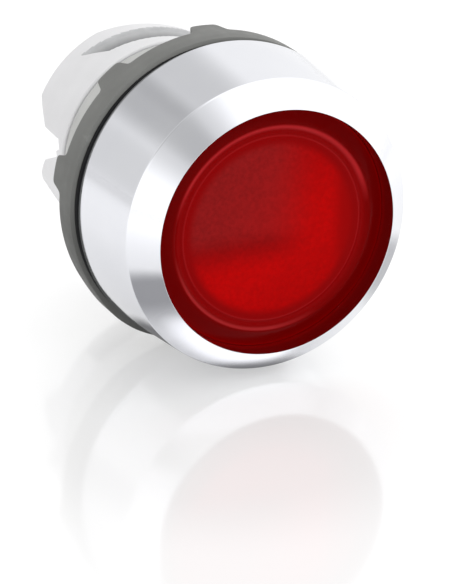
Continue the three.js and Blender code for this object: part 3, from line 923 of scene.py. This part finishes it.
def operator_body():
    """The body's sleeve, floor and shank, with the bayonet's notches cut through its spigot."""
    mesh = turned_mesh(fine_profile("operator_body", fillet=0.1))
    piece = finish_mesh("operator_body", mesh, "housing", [NATURAL_PLASTIC])
    cutter = notch_cutter()
    cut = piece.modifiers.new("notches", "BOOLEAN")
    cut.operation = "DIFFERENCE"
    cut.object = cutter
    bpy.context.view_layer.update()
    whole = piece.evaluated_get(bpy.context.evaluated_depsgraph_get())
    piece.data = bpy.data.meshes.new_from_object(whole)
    piece.modifiers.clear()
    bpy.data.objects.remove(cutter)
    piece.data.set_sharp_from_angle(angle=math.radians(SHARP_ANGLE))


def snap_ring():
    """The open snap ring behind the guide plate."""
    profile = fine_profile("guide_snap_ring", fillet=0.1)
    angles = sorted({angle for _, angle, _ in cad_points("guide_snap_ring")})
    gaps = [(after - before, before, after) for before, after in zip(angles, angles[1:])]
    _, before, after = max(gaps)
    sweep = 360 - (after - before)
    count = SNAP_RING_STEPS + 1
    turns = [math.radians(after + sweep * i / SNAP_RING_STEPS) for i in range(count)]
    mesh = ring_mesh([profile] * count, turns, full_turn=False)
    finish_mesh("guide_snap_ring", mesh, "housing", [SPRING_STEEL])


def return_spring():
    """The coil spring, its coils closing up towards both ends."""
    low, high = box_mm("return_spring")
    radius = high.x - WIRE_R
    front, rear = low.y + WIRE_R, high.y - WIRE_R
    count = SPRING_TURNS * STEPS_IN_TURN
    points = []
    for i in range(count + 1):
        t = i / count
        along = t - SPRING_CLOSING / (2 * math.pi) * math.sin(2 * math.pi * t)
        angle = 2 * math.pi * SPRING_TURNS * t
        y = front + (rear - front) * along
        points.append(Vector((radius * math.cos(angle), y, radius * math.sin(angle))))
    mesh = tube_mesh(points, WIRE_R)
    piece = finish_mesh("return_spring", mesh, "housing", [SPRING_STEEL])
    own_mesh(piece)


def thrust_collar():
    """The clip ring on the plunger's neck, with its two raised feet."""
    points = cad_points("thrust_collar")
    bore = min(radius for radius, _, _ in points)
    foot_r = max(radius for radius, _, _ in points)
    front, rear = min(y for _, _, y in points), max(y for _, _, y in points)
    hub_r = max(radius for radius, _, y in points if abs(y - (rear - HUB_STEP)) < 0.1)
    half = math.degrees(math.asin(FOOT_HALF_WIDTH / foot_r))
    angles = [360 * i / CLIP_STEPS for i in range(CLIP_STEPS)]
    loops = []
    for angle in angles:
        away = min(angle % 180, 180 - angle % 180)
        raised = smoothstep(half + FOOT_RAMP[0], half + FOOT_RAMP[1], away)
        outer = hub_r + (foot_r - hub_r) * raised
        loops.append(rounded_wall(bore, outer, front, rear - HUB_STEP * (1 - raised), CLIP_EDGE_R))
    mesh = ring_mesh(loops, [math.radians(angle) for angle in angles])
    finish_mesh("thrust_collar", mesh, "plunger", [WHITE_PLASTIC])


def add_housing():
    bezel()
    round_ring("front_o_ring", "housing", BLACK_RUBBER)
    gasket()
    operator_body()
    panel_seal()
    panel_collar()
    bayonet_collar()
    turned_piece("lip_seal", "housing", BLACK_RUBBER, fillet=0.1)
    turned_piece("seal_retainer", "housing", WHITE_PLASTIC, fillet=0.1)
    turned_piece("guide_plate", "housing", NATURAL_PLASTIC, fillet=0.12)
    snap_ring()
    return_spring()


def add_plunger():
    lens_cap()
    turned_piece("legend_insert", "plunger", MILKY_PLASTIC, fillet=0.1)
    turned_piece("diffuser", "plunger", MILKY_PLASTIC, fillet=0.1)
    round_ring("lens_seal", "plunger", BLACK_RUBBER)
    turned_piece("lens_holder", "plunger", WHITE_PLASTIC, fillet=0.08)
    turned_piece("light_guide", "plunger", CLEAR_PLASTIC, fillet=0.15)
    turned_piece("plunger_tube", "plunger", WHITE_PLASTIC, fillet=0.12)
    thrust_collar()


# ------------------------------------------------------------------ camera, floor, light


def view_axes(azimuth, elevation, roll):
    """Right, up and back of a camera, from angles in degrees."""
    a, e, r = (math.radians(x) for x in (azimuth, elevation, roll))
    back = Vector((math.sin(a) * math.cos(e), -math.cos(a) * math.cos(e), math.sin(e)))
    right = Vector((math.cos(a), math.sin(a), 0))
    up = back.cross(right)
    turned_right = right * math.cos(r) + up * math.sin(r)
    return turned_right, back.cross(turned_right), back


def add_camera():
    """A long lens from the upper left, aimed so that the button stands high in the frame."""
    right, up, back = view_axes(*CAMERA_TURN)
    opening = Vector((0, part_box("bezel_ring")[0].y, 0))
    offset = back * CAMERA_DISTANCE - right * OPENING_RIGHT - up * OPENING_UP
    camera = bpy.data.objects.new("camera", bpy.data.cameras.new("camera"))
    camera.data.sensor_fit = "VERTICAL"
    camera.data.sensor_height = CAMERA_SENSOR
    camera.data.lens = CAMERA_LENS
    camera.data.clip_start = 0.01
    turn = Matrix((right, up, back)).transposed().to_4x4()
    camera.matrix_world = Matrix.Translation(opening + offset * MM) @ turn
    bpy.context.scene.collection.objects.link(camera)
    bpy.context.scene.camera = camera


def add_sheet(name, size, material, height, centre=(0, 0), scale=(1, 1)):
    """A flat sheet of the stage, a height over the floor. size is half its side, in metres."""
    mesh = bmesh.new()
    bmesh.ops.create_grid(mesh, x_segments=1, y_segments=1, size=size)
    data = bpy.data.meshes.new(name)
    mesh.to_mesh(data)
    mesh.free()
    data.materials.append(material)
    sheet = bpy.data.objects.new(name, data)
    sheet.location = (centre[0] * MM, centre[1] * MM, FLOOR_Z + height * MM)
    sheet.scale = (*scale, 1)
    bpy.context.scene.collection.objects.link(sheet)
    return sheet


def add_floor():
    """A glossy white floor just under the model. Its glow dips near one spot and fades far away."""
    material, tree, shader = start_material("floor")
    shader.inputs["Base Color"].default_value = (FLOOR_GREY, FLOOR_GREY, FLOOR_GREY, 1)
    shader.inputs["Emission Color"].default_value = (1, 1, 1, 1)
    inputs = {0: position(tree), 1: (DIM_SPOT[0] * MM, DIM_SPOT[1] * MM, 0)}
    away = add_node(tree, "ShaderNodeVectorMath", inputs, operation="DISTANCE").outputs["Value"]
    away_mm = multiply(tree, away, 1 / MM)
    dip = map_range(tree, away_mm, *DIM_REACH, DIM_GLOW, NEAR_GLOW)
    glow = multiply(tree, dip, map_range(tree, away_mm, *FADE_REACH, 1.0, FADE))
    tree.links.new(glow, shader.inputs["Emission Strength"])
    shader.inputs["Roughness"].default_value = 0.1
    shader.inputs["Specular IOR Level"].default_value = 0.8
    add_sheet("floor", FLOOR_HALF, material, height=0)


def add_card(name, height, centre, reach, solid, grey):
    """A soft-edged card lying on the floor, which only shows from above, and only in reflections."""
    material, tree, _ = start_material(name)
    away = add_node(tree, "ShaderNodeVectorMath", {0: position(tree)}, operation="LENGTH").outputs["Value"]
    underside = add_node(tree, "ShaderNodeNewGeometry").outputs["Backfacing"]
    shade = multiply(tree, map_range(tree, away, 1.0, solid), map_range(tree, underside, 1, 0))
    clear = add_node(tree, "ShaderNodeBsdfTransparent").outputs["BSDF"]
    # A dark card's glow paints shade into reflections; a card brighter than 1 paints light.
    tone = add_node(tree, "ShaderNodeEmission", {"Color": (grey, grey, 1.02 * grey, 1)})
    inputs = {0: shade, 1: clear, 2: tone.outputs["Emission"]}
    soft = add_node(tree, "ShaderNodeMixShader", inputs).outputs["Shader"]
    tree.links.new(soft, tree.nodes["Material Output"].inputs["Surface"])
    card = add_sheet(name, 1.0, material, height, centre, (reach[0] * MM, reach[1] * MM))
    card.visible_camera = False
    card.visible_diffuse = False
    card.visible_shadow = False


def add_world():
    """A white studio, brightest in front, with soft darker patches that draw the chrome's bands."""
    world = bpy.data.worlds.new("studio")
    bpy.context.scene.world = world
    world.use_nodes = True
    tree = world.node_tree
    direction = add_node(tree, "ShaderNodeTexCoord").outputs["Generated"]
    parts = add_node(tree, "ShaderNodeSeparateXYZ", {"Vector": direction})
    light = map_range(tree, parts.outputs["Y"], 0.7, 0.1, BACK_LIGHT, FRONT_LIGHT)
    for towards, edge, depth in DARK_PATCHES:
        inputs = {0: direction, 1: Vector(towards).normalized()}
        facing = add_node(tree, "ShaderNodeVectorMath", inputs, operation="DOT_PRODUCT")
        patch = map_range(tree, facing.outputs["Value"], edge, 1.0, 1.0, 1 - depth)
        light = multiply(tree, light, patch)
    tree.links.new(light, tree.nodes["Background"].inputs["Color"])


def main():
    add_housing()
    add_plunger()
    add_camera()
    add_floor()
    for card in CARDS:
        add_card(*card)
    add_world()
    bpy.context.scene.view_settings.view_transform = "Standard"


main()
